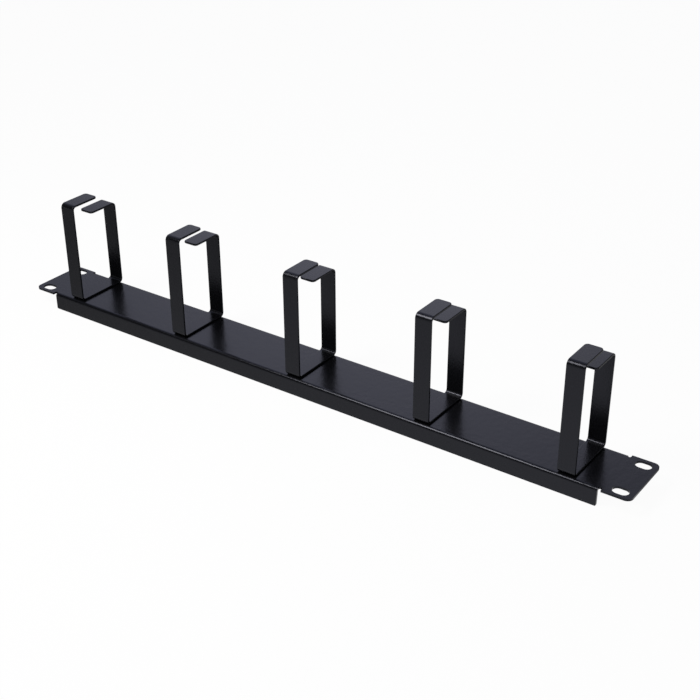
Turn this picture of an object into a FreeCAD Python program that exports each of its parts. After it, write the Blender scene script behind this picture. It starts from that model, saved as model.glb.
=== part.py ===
import FreeCAD, Part
import math
import os

import Sketcher
from FreeCAD import Vector

# One-unit 19-inch horizontal cable manager. A folded sheet panel carries a row of open cable
# rings, each folded from flat strip and spot-welded by its foot to the panel's face.
#
# Frame: +X along the panel, +Y towards its back edge, +Z out of its face, where the rings are.
# The origin is midway along and across the panel, in the plane of its flanges' free edges,
# on which the part stands.

ring_count = 5
same = 1e-6  # mm: two places closer than this are one

driving_sizes = {
    # panel: one rack unit high, 19 inches long over its ears
    "panel_length": 482.6,
    "panel_height": 43.66,
    "sheet_thickness": 1.5,
    "panel_bend_inside": 0.9,
    "flange_depth": 12.3,
    "flange_inset": 0.2,
    "flange_corner_radius": 0.8,
    "ear_length": 20.7,
    "ear_corner_radius": 4.2,
    "relief_width": 2.2,
    # rack slots, their middles measured from the panel's ends and long edges
    "slot_length": 10.4,
    "slot_width": 7.3,
    "slot_end_distance": 8.75,
    "slot_edge_distance": 5.955,
    # rings
    "strip_width": 11.7,
    "strip_thickness": 1.5,
    "strip_bend_inside": 2.0,
    "ring_height": 75.0,
    "cable_throat": 8.5,
    "flap_length": 24.6,
    "flap_corner_radius": 2.5,
    "ring_front_setback": 1.7,
    "ring_back_overhang": 0.3,
    "ring_end_inset": 21.0,
}

# Places that follow from the sizes, each written once.
channel_end = "(Sizes.panel_length / 2 - Sizes.ear_length)"
channel_side = "(Sizes.panel_height / 2 - Sizes.flange_inset)"
relief_middle = f"({channel_end} + Sizes.relief_width / 2)"
ring_depth = f"(2 * {channel_side} - Sizes.ring_front_setback + Sizes.ring_back_overhang)"
back_upright_height = "(Sizes.ring_height - Sizes.strip_thickness - Sizes.cable_throat)"
outer_ring_place = f"({channel_end} - Sizes.ring_end_inset)"

doc = FreeCAD.newDocument("cable_manager")
sizes = doc.addObject("Spreadsheet::Sheet", "Sizes")
for row, (alias, value) in enumerate(driving_sizes.items(), start=1):
    sizes.set(f"A{row}", str(value))
    sizes.setAlias(f"A{row}", alias)
doc.recompute()


def number(expression):
    """The value that an expression on the sheet's sizes has now."""
    return float(sizes.evalExpression(expression))


def origin_plane(body, role):
    """The body's own origin plane with this role."""
    return next(feature for feature in body.Origin.OriginFeatures if feature.Role == role)


def new_sketch(body, name, role, height="0"):
    """A sketch on one of the body's origin planes, raised from it by an expression."""
    sketch = body.newObject("Sketcher::SketchObject", name)
    sketch.AttachmentSupport = [(origin_plane(body, role), "")]
    sketch.MapMode = "FlatFace"
    sketch.setExpression("AttachmentOffset.Base.z", height)
    return sketch


def dimension(sketch, name, expression, *place):
    """A named dimension that follows an expression on the sheet's sizes."""
    index = sketch.addConstraint(Sketcher.Constraint(*place, number(expression)))
    sketch.renameConstraint(index, name)
    sketch.setExpression(f"Constraints.{name}", expression)


def constrain(sketch, kind, *place):
    """A constraint that carries no size."""
    sketch.addConstraint(Sketcher.Constraint(kind, *place))


def add_line(sketch, start, end):
    return sketch.addGeometry(Part.LineSegment(start, end), False)


def add_arc(sketch, centre, radius, start, sweep):
    """A counter-clockwise arc, its start and sweep in degrees."""
    circle = Part.Circle(centre, Vector(0, 0, 1), radius)
    arc = Part.ArcOfCircle(circle, math.radians(start), math.radians(start + sweep))
    return sketch.addGeometry(arc, False)


def start_of(element):
    """The start point of a line or arc, as the sketcher names it."""
    return element, 1


def end_of(element):
    return element, 2


def centre_of(arc):
    return arc, 3


# The sketcher's own elements: its two axes, and the origin, where the first one starts.
sketch_axis = {"horizontal": -1, "vertical": -2}
origin = start_of(sketch_axis["horizontal"])


def draw_face(sketch, corners, depth, radius):
    """One face of a folded section: straight runs joined by tangent arcs.

    The run follows the corners of the section's outer face, always turning left, and the
    face lies this depth inside it. Returns the lines and the arcs.
    """
    lines, arcs = [], []
    bend = radius + depth
    last = len(corners) - 2
    for index, (here, there) in enumerate(zip(corners, corners[1:])):
        along = (there - here).normalize()
        inward = Vector(-along.y, along.x, 0)
        start = here if index == 0 else here + along * bend
        end = there if index == last else there - along * bend
        lines.append(add_line(sketch, start + inward * depth, end + inward * depth))
        if index < last:
            outward_angle = math.degrees(math.atan2(-inward.y, -inward.x))
            centre = there - along * bend + inward * bend
            arcs.append(add_arc(sketch, centre, radius, outward_angle, 90))
    for index, arc in enumerate(arcs):
        constrain(sketch, "Tangent", *end_of(lines[index]), *start_of(arc))
        constrain(sketch, "Tangent", *end_of(arc), *start_of(lines[index + 1]))
    return lines, arcs


def draw_folded_section(sketch, corners, thickness, bend_inside):
    """The closed section of a folded sheet, from the square corners of its outer face.

    Thickness and inside bend radius are expressions. Returns the outer face's lines, which
    the caller places, in the order of the corners.
    """
    bend_outside = f"({bend_inside} + {thickness})"
    outer_lines, outer_arcs = draw_face(sketch, corners, 0, number(bend_outside))
    inner_lines, inner_arcs = draw_face(sketch, corners, number(thickness), number(bend_inside))

    def direction(line):
        element = sketch.Geometry[line]
        level = abs(element.EndPoint.y - element.StartPoint.y) < same
        return "Horizontal" if level else "Vertical"

    for line in outer_lines + [inner_lines[0], inner_lines[-1]]:
        constrain(sketch, direction(line), line)
    for index, (outer, inner) in enumerate(zip(outer_arcs, inner_arcs), start=1):
        constrain(sketch, "Coincident", *centre_of(outer), *centre_of(inner))
        dimension(sketch, f"bend_{index}_outside", bend_outside, "Radius", outer)
        dimension(sketch, f"bend_{index}_inside", bend_inside, "Radius", inner)
    for point_of, index in ((start_of, 0), (end_of, -1)):
        outer, inner = point_of(outer_lines[index]), point_of(inner_lines[index])
        edge = add_line(sketch, sketch.getPoint(*outer), sketch.getPoint(*inner))
        constrain(sketch, "Coincident", *start_of(edge), *outer)
        constrain(sketch, "Coincident", *end_of(edge), *inner)
        constrain(sketch, direction(edge), edge)
    return outer_lines


def pad(body, name, sketch, length, both_ways=False, reverse=False):
    feature = body.newObject("PartDesign::Pad", name)
    feature.Profile = sketch
    feature.setExpression("Length", length)
    feature.SideType = "Symmetric" if both_ways else "One side"
    feature.Reversed = reverse
    return feature


def cut_through(body, name, sketch):
    """A pocket from the sketch down through the whole body, checked to have cut."""
    feature = body.newObject("PartDesign::Pocket", name)
    feature.Profile = sketch
    feature.Type = "ThroughAll"
    doc.recompute()
    if feature.Shape.Volume >= feature.BaseFeature.Shape.Volume:
        raise RuntimeError(f"{name} cuts nothing")
    return feature


def round_edges(body, name, radius, chosen):
    """A fillet on the straight edges of the body's last feature that a test chooses."""
    doc.recompute()
    base = body.Tip
    edges = [
        f"Edge{index}"
        for index, edge in enumerate(base.Shape.Edges, start=1)
        if isinstance(edge.Curve, Part.Line) and chosen(edge)
    ]
    feature = body.newObject("PartDesign::Fillet", name)
    feature.Base = (base, edges)
    feature.setExpression("Radius", radius)
    return feature


def make_channel(body):
    """The panel's face and its two flanges, as one folded section along its length."""
    sketch = new_sketch(body, "channel_section", "YZ_Plane")
    side, face = number(channel_side), number("Sizes.flange_depth")
    corners = [Vector(side, 0), Vector(side, face), Vector(-side, face), Vector(-side, 0)]
    back, web, front = draw_folded_section(
        sketch, corners, "Sizes.sheet_thickness", "Sizes.panel_bend_inside"
    )
    constrain(sketch, "PointOnObject", *start_of(back), sketch_axis["horizontal"])
    constrain(sketch, "Symmetric", *start_of(back), *end_of(front), sketch_axis["vertical"])
    dimension(sketch, "side", channel_side, "DistanceX", *origin, *start_of(back))
    dimension(sketch, "depth", "Sizes.flange_depth", "DistanceY", *origin, *start_of(web))
    return pad(body, "channel", sketch, f"2 * {relief_middle}", both_ways=True)


def make_ear(body):
    """The flat ear beyond the channel's end, a little wider than the channel."""
    sketch = new_sketch(body, "ear_outline", "XY_Plane", "Sizes.flange_depth")
    root, end = number(relief_middle), number("Sizes.panel_length / 2")
    side, radius = number("Sizes.panel_height / 2"), number("Sizes.ear_corner_radius")
    front = add_line(sketch, Vector(root, -side), Vector(end - radius, -side))
    front_corner = add_arc(sketch, Vector(end - radius, radius - side), radius, 270, 90)
    tip = add_line(sketch, Vector(end, radius - side), Vector(end, side - radius))
    back_corner = add_arc(sketch, Vector(end - radius, side - radius), radius, 0, 90)
    back = add_line(sketch, Vector(end - radius, side), Vector(root, side))
    base = add_line(sketch, Vector(root, side), Vector(root, -side))
    for element, following in (
        (front, front_corner), (front_corner, tip), (tip, back_corner), (back_corner, back)
    ):
        constrain(sketch, "Tangent", *end_of(element), *start_of(following))
    constrain(sketch, "Coincident", *end_of(back), *start_of(base))
    constrain(sketch, "Coincident", *end_of(base), *start_of(front))
    constrain(sketch, "Horizontal", front)
    constrain(sketch, "Vertical", tip)
    constrain(sketch, "Horizontal", back)
    constrain(sketch, "Equal", front_corner, back_corner)
    constrain(sketch, "Symmetric", *start_of(front), *end_of(back), sketch_axis["horizontal"])
    dimension(sketch, "corner", "Sizes.ear_corner_radius", "Radius", front_corner)
    dimension(sketch, "root", relief_middle, "DistanceX", *origin, *start_of(base))
    dimension(sketch, "end", "Sizes.panel_length / 2", "DistanceX", *origin, *start_of(tip))
    dimension(sketch, "side", "Sizes.panel_height / 2", "DistanceY", *origin, *end_of(back))
    return pad(body, "ear", sketch, "Sizes.sheet_thickness", reverse=True)


def make_relief(body):
    """The bend relief between the ear and the back flange's end: a notch with a round end.

    Its straight sides reach in as far as the flange's inner face, so the flange ends square.
    """
    sketch = new_sketch(body, "bend_relief", "XY_Plane", "Sizes.flange_depth")
    round_end = f"({channel_side} - Sizes.sheet_thickness)"
    open_end = "(Sizes.panel_height / 2 + Sizes.relief_width)"
    middle, radius = number(relief_middle), number("Sizes.relief_width / 2")
    inner, outer = number(round_end), number(open_end)
    left, right = middle - radius, middle + radius
    flange_side = add_line(sketch, Vector(left, outer), Vector(left, inner))
    bottom = add_arc(sketch, Vector(middle, inner), radius, 180, 180)
    ear_side = add_line(sketch, Vector(right, inner), Vector(right, outer))
    mouth = add_line(sketch, Vector(right, outer), Vector(left, outer))
    constrain(sketch, "Tangent", *end_of(flange_side), *start_of(bottom))
    constrain(sketch, "Tangent", *end_of(bottom), *start_of(ear_side))
    constrain(sketch, "Coincident", *end_of(ear_side), *start_of(mouth))
    constrain(sketch, "Coincident", *end_of(mouth), *start_of(flange_side))
    constrain(sketch, "Vertical", flange_side)
    constrain(sketch, "Vertical", ear_side)
    constrain(sketch, "Horizontal", mouth)
    dimension(sketch, "round", "Sizes.relief_width / 2", "Radius", bottom)
    dimension(sketch, "place", relief_middle, "DistanceX", *origin, *centre_of(bottom))
    dimension(sketch, "inner_end", round_end, "DistanceY", *origin, *centre_of(bottom))
    dimension(sketch, "outer_end", open_end, "DistanceY", *origin, *start_of(mouth))
    return cut_through(body, "relief_cut", sketch)


def make_rack_slot(body):
    """The ear's back slot, which runs along the panel."""
    sketch = new_sketch(body, "rack_slot", "XY_Plane", "Sizes.flange_depth")
    radius = number("Sizes.slot_width / 2")
    straight = "(Sizes.slot_length - Sizes.slot_width)"
    right_end = "(Sizes.panel_length / 2 - Sizes.slot_end_distance)"
    height = "(Sizes.panel_height / 2 - Sizes.slot_edge_distance)"
    right_end = f"({right_end} + {straight} / 2)"
    right = Vector(number(right_end), number(height))
    left = right - Vector(number(straight), 0)
    out = Vector(0, radius)
    right_round = add_arc(sketch, right, radius, -90, 180)
    top = add_line(sketch, right + out, left + out)
    left_round = add_arc(sketch, left, radius, 90, 180)
    bottom = add_line(sketch, left - out, right - out)
    for element, following in (
        (right_round, top), (top, left_round), (left_round, bottom), (bottom, right_round)
    ):
        constrain(sketch, "Tangent", *end_of(element), *start_of(following))
    constrain(sketch, "Equal", left_round, right_round)
    constrain(sketch, "Horizontal", top)
    dimension(sketch, "round", "Sizes.slot_width / 2", "Radius", right_round)
    dimension(sketch, "straight", straight, "DistanceX", *end_of(top), *start_of(top))
    dimension(sketch, "place", right_end, "DistanceX", *origin, *centre_of(right_round))
    dimension(sketch, "height", height, "DistanceY", *origin, *centre_of(right_round))
    return cut_through(body, "slot_cut", sketch)


def mirror(body, name, role, originals):
    """A mirror image of the given features in one of the body's origin planes."""
    feature = body.newObject("PartDesign::Mirrored", name)
    feature.MirrorPlane = (origin_plane(body, role), [""])
    feature.Originals = originals
    body.Tip = feature
    return feature


def make_panel():
    """The folded panel: channel, ears, and a bend relief and a rack slot at each corner."""
    body = doc.addObject("PartDesign::Body", "panel")
    body.Label = "panel"
    make_channel(body)
    mirror(body, "left_ear", "YZ_Plane", [make_ear(body)])
    corner_cuts = [make_relief(body), make_rack_slot(body)]
    corners = body.newObject("PartDesign::MultiTransform", "four_corners")
    corners.Originals = corner_cuts
    corners.Transformations = [
        mirror(body, "front_and_back", "XZ_Plane", []),
        mirror(body, "left_and_right", "YZ_Plane", []),
    ]
    body.Tip = corners

    def is_flange_corner(edge):
        low, middle = edge.BoundBox.ZMin, edge.CenterOfMass
        across = abs(edge.tangentAt(edge.FirstParameter).y) > 1 - same
        return across and abs(low) < same and abs(abs(middle.x) - number(channel_end)) < same

    round_edges(body, "flange_corners", "Sizes.flange_corner_radius", is_flange_corner)
    return body


def make_ring(index):
    """One cable ring, folded from strip: foot, two uprights and two flaps.

    The front upright is the taller, and its flap passes over the back upright's flap with
    the throat between them, where a cable slips in sideways.
    """
    name = f"cable_ring_{index + 1}"
    body = doc.addObject("PartDesign::Body", name)
    body.Label = name
    sketch = new_sketch(body, f"ring_section_{index + 1}", "YZ_Plane")
    depth, flap = number(ring_depth), number("Sizes.flap_length")
    front_height, back_height = number("Sizes.ring_height"), number(back_upright_height)
    corners = [
        Vector(flap, front_height),
        Vector(0, front_height),
        Vector(0, 0),
        Vector(depth, 0),
        Vector(depth, back_height),
        Vector(depth - flap, back_height),
    ]
    upper_flap, front, foot, back, lower_flap = draw_folded_section(
        sketch, corners, "Sizes.strip_thickness", "Sizes.strip_bend_inside"
    )
    constrain(sketch, "PointOnObject", *start_of(front), sketch_axis["vertical"])
    constrain(sketch, "PointOnObject", *start_of(foot), sketch_axis["horizontal"])
    dimension(sketch, "front_height", "Sizes.ring_height",
              "DistanceY", *origin, *start_of(upper_flap))
    dimension(sketch, "back_height", back_upright_height,
              "DistanceY", *origin, *end_of(lower_flap))
    dimension(sketch, "depth", ring_depth, "DistanceX", *origin, *start_of(back))
    dimension(sketch, "upper_flap", "Sizes.flap_length",
              "DistanceX", *origin, *start_of(upper_flap))
    dimension(sketch, "lower_flap", "Sizes.flap_length",
              "DistanceX", *end_of(lower_flap), *start_of(back))
    pad(body, f"strip_{index + 1}", sketch, "Sizes.strip_width", both_ways=True)

    def is_flap_corner(edge):
        upright = abs(edge.tangentAt(edge.FirstParameter).z) > 1 - same
        return upright and abs(edge.Length - number("Sizes.strip_thickness")) < same

    round_edges(body, f"flap_corners_{index + 1}", "Sizes.flap_corner_radius", is_flap_corner)
    step = f"({index} * 2 / {ring_count - 1} - 1)"
    body.setExpression("Placement.Base.x", f"{step} * {outer_ring_place}")
    body.setExpression("Placement.Base.y", f"Sizes.ring_front_setback - {channel_side}")
    body.setExpression("Placement.Base.z", "Sizes.flange_depth")
    return body


bodies = [make_panel()] + [make_ring(index) for index in range(ring_count)]
doc.recompute()

for feature in doc.Objects:
    if "Invalid" in feature.State or "Error" in feature.State:
        raise RuntimeError(f"{feature.Label} did not build: {feature.State}")
for sketch in doc.findObjects("Sketcher::SketchObject"):
    if not sketch.FullyConstrained:
        raise RuntimeError(f"{sketch.Label} is free to move")
for body in bodies:
    if body.Shape.isNull() or not body.Shape.isValid() or len(body.Shape.Solids) != 1:
        raise RuntimeError(f"{body.Label} is not one valid solid")

os.makedirs("parts", exist_ok=True)
for body in bodies:
    body.Shape.exportStep(f"parts/{body.Label}.step")
    box = body.Shape.BoundBox
    print(f"{body.Label}: {body.Shape.Volume / 1000:.2f} cm3,"
          f" x {box.XMin:.2f} to {box.XMax:.2f}, y {box.YMin:.2f} to {box.YMax:.2f},"
          f" z {box.ZMin:.2f} to {box.ZMax:.2f}")
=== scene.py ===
import math

import bmesh
import bpy
from mathutils import Matrix, Vector


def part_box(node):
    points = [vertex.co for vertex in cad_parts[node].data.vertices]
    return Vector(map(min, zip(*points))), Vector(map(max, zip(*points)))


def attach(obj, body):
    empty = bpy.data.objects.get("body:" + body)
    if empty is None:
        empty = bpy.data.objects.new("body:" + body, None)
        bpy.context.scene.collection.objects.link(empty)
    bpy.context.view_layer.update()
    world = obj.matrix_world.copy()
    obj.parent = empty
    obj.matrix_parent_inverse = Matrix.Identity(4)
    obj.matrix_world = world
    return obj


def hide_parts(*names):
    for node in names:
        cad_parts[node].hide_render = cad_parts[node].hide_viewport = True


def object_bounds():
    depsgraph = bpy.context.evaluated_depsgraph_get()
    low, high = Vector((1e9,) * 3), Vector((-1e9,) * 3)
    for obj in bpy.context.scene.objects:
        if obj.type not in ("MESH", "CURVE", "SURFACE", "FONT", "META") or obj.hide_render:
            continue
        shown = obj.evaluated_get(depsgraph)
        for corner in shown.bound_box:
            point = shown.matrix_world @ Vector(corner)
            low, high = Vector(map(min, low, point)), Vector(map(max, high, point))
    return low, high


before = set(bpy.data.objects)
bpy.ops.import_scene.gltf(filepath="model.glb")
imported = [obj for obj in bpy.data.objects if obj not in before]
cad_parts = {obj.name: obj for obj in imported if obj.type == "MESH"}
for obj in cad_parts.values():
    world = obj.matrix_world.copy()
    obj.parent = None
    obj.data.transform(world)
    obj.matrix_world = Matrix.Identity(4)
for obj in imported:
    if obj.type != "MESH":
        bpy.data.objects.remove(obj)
cadLow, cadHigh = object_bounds()
cadMiddle = (cadLow + cadHigh) / 2
print("frame loaded, nodes:", ", ".join(sorted(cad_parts)))

mm = 0.001
touch = 0.01 * mm  # places closer than this count as the same
squareOn = 0.99  # a face whose normal goes this far along an axis counts as facing that way


# Camera: from the right and above, a little under a metre away

camera = {
    "azimuth": 35.254,
    "elevation": 28.823,
    "roll": -0.208,
    "distance": 860.61 * mm,
    "aim": Vector((18.97, 19.20, -22.69)) * mm,  # from the middle of the part's box
    "lens": 65.98,
    "sensor": 36,
    "nearest": 0.05,
    "farthest": 50,
}


def placeCamera():
    turn, rise, roll = (math.radians(camera[name]) for name in ("azimuth", "elevation", "roll"))
    back = Vector((math.sin(turn) * math.cos(rise), -math.cos(turn) * math.cos(rise), math.sin(rise)))
    right = (-back).cross(Vector((0, 0, 1))).normalized()
    up = right.cross(-back)
    rolledRight = right * math.cos(roll) + up * math.sin(roll)
    rolledUp = up * math.cos(roll) - right * math.sin(roll)
    bpy.ops.object.camera_add()
    eye = bpy.context.object
    eye.name = "studioCamera"
    facing = Matrix((rolledRight, rolledUp, back)).transposed()
    place = cadMiddle + camera["aim"] + back * camera["distance"]
    eye.matrix_world = Matrix.Translation(place) @ facing.to_4x4()
    eye.data.sensor_width = camera["sensor"]
    eye.data.lens = camera["lens"]
    eye.data.clip_start = camera["nearest"]
    eye.data.clip_end = camera["farthest"]
    bpy.context.scene.camera = eye


placeCamera()
print("camera placed")


# Modelling helpers

cutEdgeAngle = math.radians(50)  # edges sharper than this are cut ones, and the rest are inside a bend
flatAngle = math.radians(1)  # faces that meet at less than this are one flat face


def deselectAll():
    # operators act on everything selected, and loading leaves the solids selected
    bpy.ops.object.select_all(action="DESELECT")


def pick(piece):
    # makes the piece the only one selected, and the active one
    deselectAll()
    piece.select_set(True)
    bpy.context.view_layer.objects.active = piece


def newPlane(name, low, high):
    # a level rectangle between two corners, left in edit mode with nothing selected
    deselectAll()
    middle, size = (low + high) / 2, high - low
    bpy.ops.mesh.primitive_plane_add(size=1, location=middle)
    piece = bpy.context.object
    piece.name = piece.data.name = name
    piece.scale = (size.x, size.y, 1)
    bpy.ops.object.transform_apply(location=True, rotation=True, scale=True)
    bpy.ops.object.mode_set(mode="EDIT")
    bpy.ops.mesh.select_all(action="DESELECT")
    return piece


def editShape(piece):
    pick(piece)
    bpy.ops.object.mode_set(mode="EDIT")


def leaveEdit():
    bpy.ops.object.mode_set(mode="OBJECT")


def select(kind, chosen):
    # in edit mode, selects only the vertices, edges or faces that pass the test
    bpy.ops.mesh.select_mode(type=kind)
    bpy.ops.mesh.select_all(action="DESELECT")
    shape = bmesh.from_edit_mesh(bpy.context.edit_object.data)
    parts = {"VERT": shape.verts, "EDGE": shape.edges, "FACE": shape.faces}[kind]
    for part in parts:
        if chosen(part):
            part.select_set(True)
    shape.select_flush_mode()
    bmesh.update_edit_mesh(bpy.context.edit_object.data)


def middleOf(edge):
    return (edge.verts[0].co + edge.verts[1].co) / 2


def near(first, second):
    return abs(first - second) < touch


def extrude(x=0, y=0, z=0):
    bpy.ops.mesh.extrude_region_move(TRANSFORM_OT_translate={"value": (x, y, z)})


def addModifier(piece, kind, **settings):
    # adds a modifier and applies it at once
    pick(piece)
    modifier = piece.modifiers.new(kind.title(), kind)
    for setting, value in settings.items():
        setattr(modifier, setting, value)
    bpy.ops.object.modifier_apply(modifier=modifier.name)


def faceOutwards():
    # in edit mode, merges doubles and turns every face outwards
    bpy.ops.mesh.select_all(action="SELECT")
    bpy.ops.mesh.remove_doubles(threshold=touch / 10)
    bpy.ops.mesh.normals_make_consistent(inside=False)
    bpy.ops.mesh.select_all(action="DESELECT")


def roundRims(piece, radius, steps):
    # rounds every cut edge as the coat does, leaving the bends and the flat faces true
    addModifier(piece, "BEVEL", width=radius, segments=steps, limit_method="ANGLE",
                angle_limit=cutEdgeAngle, use_clamp_overlap=True, miter_outer="MITER_ARC")
    pick(piece)
    bpy.ops.object.shade_smooth()
    addModifier(piece, "WEIGHTED_NORMAL", mode="FACE_AREA", weight=100, keep_sharp=True)


# Cable ring: a flat strip folded into foot, two uprights and two flaps

ring = {
    "strip": 1.5 * mm,
    "bendOutside": 3.5 * mm,
    "bendSteps": 12,
    "flap": 24.6 * mm,
    "flapDrop": 10.0 * mm,  # how far the back flap lies below the front one
    "corner": 2.5 * mm,  # at the flaps' free ends
    "cornerSteps": 8,
    "rim": 0.45 * mm,  # how far the coat rounds a cut edge
    "rimSteps": 4,
}


def modelRing(name, low, high):
    # the strip's outer face first, starting from its foot
    piece = newPlane(name, low, Vector((high.x, high.y, low.z)))
    tall = high.z - low.z
    select("EDGE", lambda edge: near(middleOf(edge).y, low.y))
    extrude(z=tall)
    extrude(y=ring["flap"])
    select("EDGE", lambda edge: near(middleOf(edge).y, high.y))
    extrude(z=tall - ring["flapDrop"])
    extrude(y=-ring["flap"])
    select("EDGE", lambda edge: len(edge.link_faces) == 2)
    bpy.ops.mesh.bevel(offset=ring["bendOutside"], segments=ring["bendSteps"], affect="EDGES")
    select("VERT", lambda corner: len(corner.link_edges) == 2)
    bpy.ops.mesh.bevel(offset=ring["corner"], segments=ring["cornerSteps"], affect="VERTICES")
    leaveEdit()
    addModifier(piece, "SOLIDIFY", thickness=ring["strip"], offset=1, use_even_offset=True)
    editShape(piece)
    faceOutwards()
    leaveEdit()
    roundRims(piece, ring["rim"], ring["rimSteps"])
    return piece


def copyRing(piece, name, step):
    pick(piece)
    bpy.ops.object.duplicate(linked=False)
    twin = bpy.context.object
    twin.name = twin.data.name = name
    bpy.ops.transform.translate(value=step)
    bpy.ops.object.transform_apply(location=True, rotation=True, scale=True)
    return twin


ringNodes = sorted(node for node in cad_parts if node.startswith("cable_ring"))
firstLow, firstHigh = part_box(ringNodes[0])
rings = [modelRing("cableRing1", firstLow, firstHigh)]
for count, node in enumerate(ringNodes[1:], start=2):
    rings.append(copyRing(rings[0], f"cableRing{count}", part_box(node)[0] - firstLow))
print("cable rings folded:", len(rings), "with", len(rings[0].data.polygons), "faces each")


# Panel: a flat blank, folded down along both edges, then notched and slotted

panel = {
    "sheet": 1.5 * mm,
    "bendInside": 0.9 * mm,
    "bendSteps": 8,
    "flangeInset": 0.2 * mm,  # the folded part is this much narrower than the ears, each side
    "ear": 20.7 * mm,
    "earCorner": 4.2 * mm,
    "earCornerSteps": 12,
    "relief": 2.2 * mm,
    "reliefOvershoot": 4.4 * mm,  # how far its punch runs out past the ear's edge
    "neckShare": 0.6,  # how much of the gap between flange and ear stays joined until it is punched
    "punchOvershoot": 1.0 * mm,  # above and below the folded panel
    "slotLength": 10.4 * mm,
    "slotWidth": 7.3 * mm,
    "slotFromEnd": 8.75 * mm,
    "slotFromEdge": 5.955 * mm,
    "slotSteps": 12,
    "flangeCorner": 0.8 * mm,
    "flangeCornerSteps": 5,
    "rim": 0.36 * mm,
    "rimSteps": 4,
}

sides = (-1, 1)


def modelPunch(middle, length, width, low, high):
    # an upright bar with round ends, to punch a slot or a notch, longer along X or along Y
    reach = Vector((length, width, 0)) / 2
    foot = Vector((middle.x, middle.y, low))
    piece = newPlane("punch", foot - reach, foot + reach)
    bpy.ops.mesh.select_mode(type="VERT")
    bpy.ops.mesh.select_all(action="SELECT")
    bpy.ops.mesh.bevel(offset=min(length, width) / 2, segments=panel["slotSteps"],
                       affect="VERTICES", clamp_overlap=False)
    bpy.ops.mesh.select_all(action="SELECT")
    bpy.ops.mesh.remove_doubles(threshold=touch)
    bpy.ops.mesh.select_mode(type="FACE")
    bpy.ops.mesh.select_all(action="SELECT")
    extrude(z=high - low)
    faceOutwards()
    leaveEdit()
    return piece


def joinPieces(pieces):
    pick(pieces[0])
    for piece in pieces:
        piece.select_set(True)
    bpy.ops.object.join()
    return pieces[0]


def modelPanel(name, low, high):
    middle = (low + high) / 2
    top = high.z
    halfLength, halfWidth = (high.x - low.x) / 2, (high.y - low.y) / 2
    channelEnd = halfLength - panel["ear"]
    channelSide = halfWidth - panel["flangeInset"]
    bendOutside = panel["bendInside"] + panel["sheet"]
    foldLine = channelSide - bendOutside
    reliefMiddle = channelEnd + panel["relief"] / 2
    neck = panel["relief"] * panel["neckShare"] / 2

    # blank: the web out to the fold lines, the narrow necks, and the two ears
    reach = Vector((reliefMiddle - neck, foldLine, 0))
    level = Vector((middle.x, middle.y, top))
    piece = newPlane(name, level - reach, level + reach)
    for side in sides:
        select("EDGE", lambda edge: near(middleOf(edge).x, middle.x + side * reach.x))
        extrude(x=side * 2 * neck)
        extrude(x=side * (halfLength - reliefMiddle - neck))
    earMiddle = (halfLength + reliefMiddle + neck) / 2
    for side in sides:
        select("EDGE", lambda edge: near(middleOf(edge).y, middle.y + side * foldLine)
               and near(abs(middleOf(edge).x - middle.x), earMiddle))
        extrude(y=side * (halfWidth - foldLine))
    bpy.ops.mesh.select_all(action="SELECT")
    bpy.ops.mesh.dissolve_limited(angle_limit=flatAngle)
    select("VERT", lambda corner: near(abs(corner.co.x - middle.x), halfLength))
    bpy.ops.mesh.bevel(offset=panel["earCorner"], segments=panel["earCornerSteps"], affect="VERTICES")
    leaveEdit()
    addModifier(piece, "SOLIDIFY", thickness=panel["sheet"], offset=-1)
    print("panel blank cut")

    # folds: each long wall swings down about its bend line, then runs on to the free edge
    editShape(piece)
    for side in sides:
        bpy.ops.mesh.select_all(action="SELECT")
        bpy.ops.mesh.bisect(plane_co=(middle.x + side * reach.x, 0, 0), plane_no=(1, 0, 0))
    for side in sides:
        select("FACE", lambda face: face.normal.y * side > squareOn
               and near(face.calc_center_median().y, middle.y + side * foldLine)
               and abs(face.calc_center_median().x - middle.x) < reach.x)
        axis = (middle.x, middle.y + side * foldLine, top - bendOutside)
        bpy.ops.mesh.spin(steps=panel["bendSteps"], angle=side * math.pi / 2,
                          center=axis, axis=(1, 0, 0))
        extrude(z=low.z - (top - bendOutside))
    faceOutwards()
    leaveEdit()
    print("flanges folded")

    # punched shapes: four rack slots and four bend reliefs
    below, above = low.z - panel["punchOvershoot"], top + panel["punchOvershoot"]
    roundEnd = channelSide - panel["sheet"] - panel["relief"] / 2
    openEnd = halfWidth + panel["reliefOvershoot"]
    punches = []
    for alongX in sides:
        for alongY in sides:
            slot = middle + Vector((alongX * (halfLength - panel["slotFromEnd"]),
                                    alongY * (halfWidth - panel["slotFromEdge"]), 0))
            punches.append(modelPunch(slot, panel["slotLength"], panel["slotWidth"], below, above))
            relief = middle + Vector((alongX * reliefMiddle, alongY * (roundEnd + openEnd) / 2, 0))
            punches.append(modelPunch(relief, panel["relief"], openEnd - roundEnd, below, above))
    punch = joinPieces(punches)
    addModifier(piece, "BOOLEAN", object=punch, operation="DIFFERENCE", solver="EXACT")
    bpy.data.objects.remove(punch)

    # the flanges' free corners, then every cut edge
    editShape(piece)
    select("EDGE", lambda edge: near(edge.verts[0].co.z, low.z) and near(edge.verts[1].co.z, low.z)
           and near(edge.verts[0].co.x, edge.verts[1].co.x)
           and near(abs(edge.verts[0].co.x - middle.x), channelEnd))
    bpy.ops.mesh.bevel(offset=panel["flangeCorner"], segments=panel["flangeCornerSteps"], affect="EDGES")
    faceOutwards()
    leaveEdit()
    roundRims(piece, panel["rim"], panel["rimSteps"])
    return piece


panelPiece = modelPanel("foldedPanel", *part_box("panel"))
print("panel finished with", len(panelPiece.data.polygons), "faces")


# Powder coat

def mathNode(tree, operation, first, second=None):
    node = tree.nodes.new("ShaderNodeMath")
    node.operation = operation
    for socket, value in zip(node.inputs, (first, second)):
        if isinstance(value, bpy.types.NodeSocket):
            tree.links.new(value, socket)
        elif value is not None:
            socket.default_value = value
    return node.outputs[0]


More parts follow.
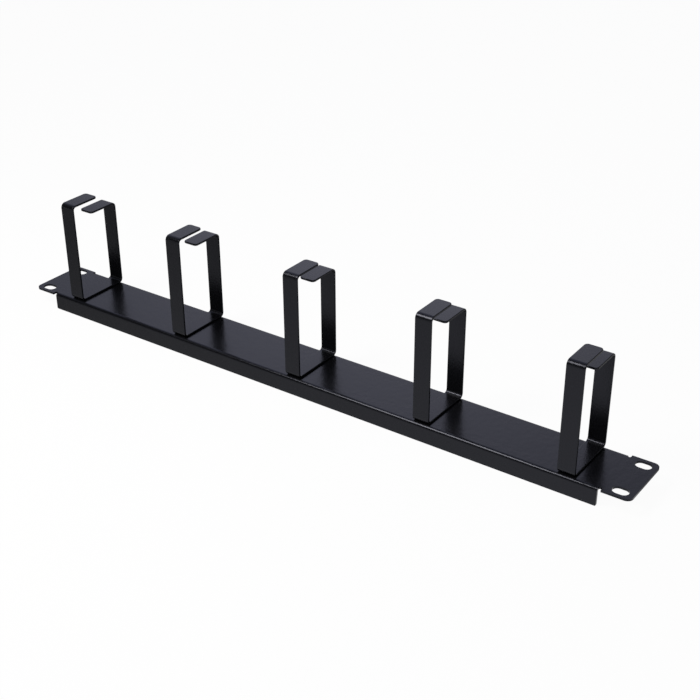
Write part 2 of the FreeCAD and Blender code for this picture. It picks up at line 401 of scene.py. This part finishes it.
def noiseNode(tree, place, scale, detail):
    node = tree.nodes.new("ShaderNodeTexNoise")
    tree.links.new(place, node.inputs["Vector"])
    for name, value in (("Scale", scale), ("Detail", detail)):
        if isinstance(value, bpy.types.NodeSocket):
            tree.links.new(value, node.inputs[name])
        else:
            node.inputs[name].default_value = value
    return node.outputs["Fac"]


panelCoat = {
    "colour": (0.0031, 0.0032, 0.0039),
    "colourDrift": 0.25,
    "rippleScale": 280.0,
    "grainScale": 2200.0,
    "grainShare": 0.10,
    "gloss": 0.235,
    "glossDrift": 0.05,
    "depth": 0.070 * mm,
    "ior": 1.5,
    "specular": 0.28,
    "specularTint": (0.80, 0.82, 1.0),
}

# the strips' coat is finer and rougher than the panel's
ringCoat = dict(panelCoat, rippleScale=1100.0, grainShare=0.15, depth=0.060 * mm)

coatSkin = {
    "rippleDetail": 1.0,
    "grainDetail": 2.0,
    "filmScale": 22.0,
    "filmDetail": 3.0,
    "middle": 0.5,  # the noise's middle value
}

skinAmounts = {  # the group's number inputs, and what each takes from a coat
    "Colour Drift": "colourDrift",
    "Ripple Scale": "rippleScale",
    "Grain Scale": "grainScale",
    "Grain Share": "grainShare",
    "Gloss": "gloss",
    "Gloss Drift": "glossDrift",
}


def makeSkinGroup():
    # the skin of a baked powder coat: ripples, grain, and film that varies a little in gloss and colour
    group = bpy.data.node_groups.new("powderCoatSkin", "ShaderNodeTree")
    group.interface.new_socket("Place", in_out="INPUT", socket_type="NodeSocketVector")
    group.interface.new_socket("Colour", in_out="INPUT", socket_type="NodeSocketColor")
    for name in skinAmounts:
        group.interface.new_socket(name, in_out="INPUT", socket_type="NodeSocketFloat")
    group.interface.new_socket("Colour", in_out="OUTPUT", socket_type="NodeSocketColor")
    group.interface.new_socket("Roughness", in_out="OUTPUT", socket_type="NodeSocketFloat")
    group.interface.new_socket("Height", in_out="OUTPUT", socket_type="NodeSocketFloat")
    ins = group.nodes.new("NodeGroupInput").outputs
    outs = group.nodes.new("NodeGroupOutput").inputs
    ripple = noiseNode(group, ins["Place"], ins["Ripple Scale"], coatSkin["rippleDetail"])
    grain = noiseNode(group, ins["Place"], ins["Grain Scale"], coatSkin["grainDetail"])
    film = noiseNode(group, ins["Place"], coatSkin["filmScale"], coatSkin["filmDetail"])

    # height: broad ripples with finer grain on them
    fine = mathNode(group, "MULTIPLY", grain, ins["Grain Share"])
    group.links.new(mathNode(group, "ADD", ripple, fine), outs["Height"])

    # gloss and colour go up and down together, with the film and with the grain
    filmDrift = mathNode(group, "SUBTRACT", film, coatSkin["middle"])
    grainDrift = mathNode(group, "SUBTRACT", grain, coatSkin["middle"])
    drift = mathNode(group, "ADD", filmDrift, grainDrift)
    glossDrift = mathNode(group, "MULTIPLY", drift, ins["Gloss Drift"])
    group.links.new(mathNode(group, "ADD", glossDrift, ins["Gloss"]), outs["Roughness"])
    shade = mathNode(group, "ADD", mathNode(group, "MULTIPLY", drift, ins["Colour Drift"]), 1.0)
    scaled = group.nodes.new("ShaderNodeVectorMath")
    scaled.operation = "SCALE"
    group.links.new(ins["Colour"], scaled.inputs[0])
    group.links.new(shade, scaled.inputs["Scale"])
    group.links.new(scaled.outputs[0], outs["Colour"])
    return group


skinGroup = makeSkinGroup()


def makeCoat(name, coat):
    material = bpy.data.materials.new(name)
    material.use_nodes = True
    tree = material.node_tree
    tree.nodes.clear()
    surface = tree.nodes.new("ShaderNodeOutputMaterial")
    shader = tree.nodes.new("ShaderNodeBsdfPrincipled")
    shader.inputs["IOR"].default_value = coat["ior"]
    shader.inputs["Specular IOR Level"].default_value = coat["specular"]
    shader.inputs["Specular Tint"].default_value = (*coat["specularTint"], 1)
    skin = tree.nodes.new("ShaderNodeGroup")
    skin.node_tree = skinGroup
    tree.links.new(tree.nodes.new("ShaderNodeTexCoord").outputs["Object"], skin.inputs["Place"])
    skin.inputs["Colour"].default_value = (*coat["colour"], 1)
    for socket, amount in skinAmounts.items():
        skin.inputs[socket].default_value = coat[amount]
    bump = tree.nodes.new("ShaderNodeBump")
    bump.inputs["Strength"].default_value = 1.0
    bump.inputs["Distance"].default_value = coat["depth"]
    tree.links.new(skin.outputs["Height"], bump.inputs["Height"])
    tree.links.new(skin.outputs["Colour"], shader.inputs["Base Color"])
    tree.links.new(skin.outputs["Roughness"], shader.inputs["Roughness"])
    tree.links.new(bump.outputs["Normal"], shader.inputs["Normal"])
    tree.links.new(shader.outputs[0], surface.inputs["Surface"])
    return material


def dress(piece, material, slot, *nodes):
    piece.data.materials.clear()
    piece.data.materials.append(material)
    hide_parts(*nodes)
    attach(piece, "root")


dress(panelPiece, makeCoat("panelPowderCoat", panelCoat), "panel_coat", "panel")
ringMaterial = makeCoat("ringPowderCoat", ringCoat)
for piece, node in zip(rings, ringNodes):
    dress(piece, ringMaterial, "ring_coat", node)
print("powder coat applied")


# Studio: a white floor whose mirror image carries painted shade, soft glows behind and in front, and one
# soft box at the front left

studio = {
    "floorSize": 40,
    "floorColour": 0.9,
    "floorWhiteShare": 0.96,  # the rest of the floor is paper, which takes the part's shadow
    # painted shade in the floor the coat mirrors, darker at the left with a painted shadow behind: from
    # one place to another, and the brightness at each
    "paintedShadeAlongX": (-0.30, 0.20, 0.33, 1.0),
    "paintedShadowJustBehind": (0.0, 0.012, 1.0, 0.40),
    "paintedShadowFurtherBehind": (0.17, 0.34, 0.40, 1.0),
    "backdrop": 0.97,  # the surround where it is seen directly, as white as the floor
    "wall": (0.03, 0.12, 1.0, 0.0),  # how bright the pale wall is, by the sine of the angle up
    "room": 0.05,
    "roomTint": (0.80, 0.84, 1.0),
    "glows": (  # direction, tightness, brightness, tint
        (Vector((-0.45, 0.83, 0.335)), 20.0, 1.02, (0.88, 0.88, 1.0)),
        (Vector((-0.50, 0.42, 0.76)), 10.0, 1.02, (0.74, 0.77, 1.0)),
        (Vector((0.68, -0.68, 0.30)), 4.0, 0.45, (0.88, 0.90, 1.0)),
    ),
    "boxPlace": Vector((-0.23, -0.40, 0.69)),
    "boxAim": Vector((0.0, 0.0, 0.03)),
    "boxSize": (0.365, 0.30),
    "boxPower": 5.3,
    "boxTint": (1.0, 0.98, 0.91),
}


def mappedRange(tree, value, low, high, lowResult, highResult):
    # goes evenly from lowResult to highResult as the value goes from low to high
    steps = tree.nodes.new("ShaderNodeMapRange")
    tree.links.new(value, steps.inputs["Value"])
    steps.inputs["From Min"].default_value = low
    steps.inputs["From Max"].default_value = high
    steps.inputs["To Min"].default_value = lowResult
    steps.inputs["To Max"].default_value = highResult
    return steps.outputs["Result"]


def makeFloor():
    deselectAll()
    bpy.ops.mesh.primitive_plane_add(size=studio["floorSize"],
                                     location=(cadMiddle.x, cadMiddle.y, cadLow.z))
    floor = bpy.context.object
    floor.name = "studioFloor"
    material = bpy.data.materials.new("studioFloor")
    material.use_nodes = True
    tree = material.node_tree
    tree.nodes.clear()
    surface = tree.nodes.new("ShaderNodeOutputMaterial")
    path = tree.nodes.new("ShaderNodeLightPath")
    paper = tree.nodes.new("ShaderNodeBsdfDiffuse")
    paper.inputs["Color"].default_value = (*[studio["floorColour"]] * 3, 1)
    # white where it is seen directly; what the coat mirrors carries painted shade, darker at the left,
    # with a painted shadow just behind the part
    place = tree.nodes.new("ShaderNodeSeparateXYZ")
    tree.links.new(tree.nodes.new("ShaderNodeTexCoord").outputs["Object"], place.inputs[0])
    # painted shade: the mirrored floor grows darker towards the left
    along = mappedRange(tree, place.outputs["X"], *studio["paintedShadeAlongX"])
    # painted shadow: the mirrored floor is darker just behind the part, and bright again further back
    behind = mathNode(tree, "MAXIMUM",
                      mappedRange(tree, place.outputs["Y"], *studio["paintedShadowJustBehind"]),
                      mappedRange(tree, place.outputs["Y"], *studio["paintedShadowFurtherBehind"]))
    shade = mathNode(tree, "MULTIPLY", along, behind)
    white = tree.nodes.new("ShaderNodeEmission")
    brightness = mathNode(tree, "MAXIMUM", path.outputs["Is Camera Ray"], shade)
    tree.links.new(brightness, white.inputs["Strength"])
    seen = mathNode(tree, "MAXIMUM", path.outputs["Is Camera Ray"], path.outputs["Is Glossy Ray"])
    seen = mathNode(tree, "MAXIMUM", seen, path.outputs["Is Transmission Ray"])
    mix = tree.nodes.new("ShaderNodeMixShader")
    tree.links.new(mathNode(tree, "MULTIPLY", seen, studio["floorWhiteShare"]), mix.inputs["Fac"])
    tree.links.new(paper.outputs[0], mix.inputs[1])
    tree.links.new(white.outputs[0], mix.inputs[2])
    tree.links.new(mix.outputs[0], surface.inputs["Surface"])
    floor.data.materials.append(material)


def addLight(tree, total, strength, tint):
    # adds one more light to the world; its strength is a number or another node's output
    light = tree.nodes.new("ShaderNodeBackground")
    light.inputs["Color"].default_value = (*tint, 1)
    if isinstance(strength, float):
        light.inputs["Strength"].default_value = strength
    else:
        tree.links.new(strength, light.inputs["Strength"])
    if total is None:
        return light.outputs[0]
    both = tree.nodes.new("ShaderNodeAddShader")
    tree.links.new(total, both.inputs[0])
    tree.links.new(light.outputs[0], both.inputs[1])
    return both.outputs[0]


def makeSurround():
    world = bpy.data.worlds.new("studioSurround")
    bpy.context.scene.world = world
    world.use_nodes = True
    tree = world.node_tree
    tree.nodes.clear()
    surface = tree.nodes.new("ShaderNodeOutputWorld")
    direction = tree.nodes.new("ShaderNodeTexCoord").outputs["Generated"]
    total = addLight(tree, None, studio["room"], studio["roomTint"])
    for towards, tightness, brightness, tint in studio["glows"]:
        nearness = tree.nodes.new("ShaderNodeVectorMath")
        nearness.operation = "DOT_PRODUCT"
        tree.links.new(direction, nearness.inputs[0])
        nearness.inputs[1].default_value = towards.normalized()
        glow = mathNode(tree, "MAXIMUM", nearness.outputs["Value"], 0.0)
        glow = mathNode(tree, "POWER", glow, tightness)
        total = addLight(tree, total, mathNode(tree, "MULTIPLY", glow, brightness), tint)
    height = tree.nodes.new("ShaderNodeSeparateXYZ")
    tree.links.new(direction, height.inputs[0])
    wall = mappedRange(tree, height.outputs["Z"], *studio["wall"])
    total = addLight(tree, total, wall, (1, 1, 1))
    path = tree.nodes.new("ShaderNodeLightPath")
    white = addLight(tree, None, studio["backdrop"], (1, 1, 1))
    mix = tree.nodes.new("ShaderNodeMixShader")
    tree.links.new(path.outputs["Is Camera Ray"], mix.inputs["Fac"])
    tree.links.new(total, mix.inputs[1])
    tree.links.new(white, mix.inputs[2])
    tree.links.new(mix.outputs[0], surface.inputs["Surface"])


def makeSoftBox():
    bpy.ops.object.light_add(type="AREA", location=studio["boxPlace"])
    box = bpy.context.object
    box.name = "softBox"
    box.rotation_euler = (studio["boxAim"] - studio["boxPlace"]).to_track_quat("-Z", "Y").to_euler()
    box.data.shape = "RECTANGLE"
    box.data.size, box.data.size_y = studio["boxSize"]
    box.data.energy = studio["boxPower"]
    box.data.color = studio["boxTint"]


makeFloor()
makeSurround()
makeSoftBox()
bpy.context.scene.view_settings.view_transform = "Standard"
print("studio lit")
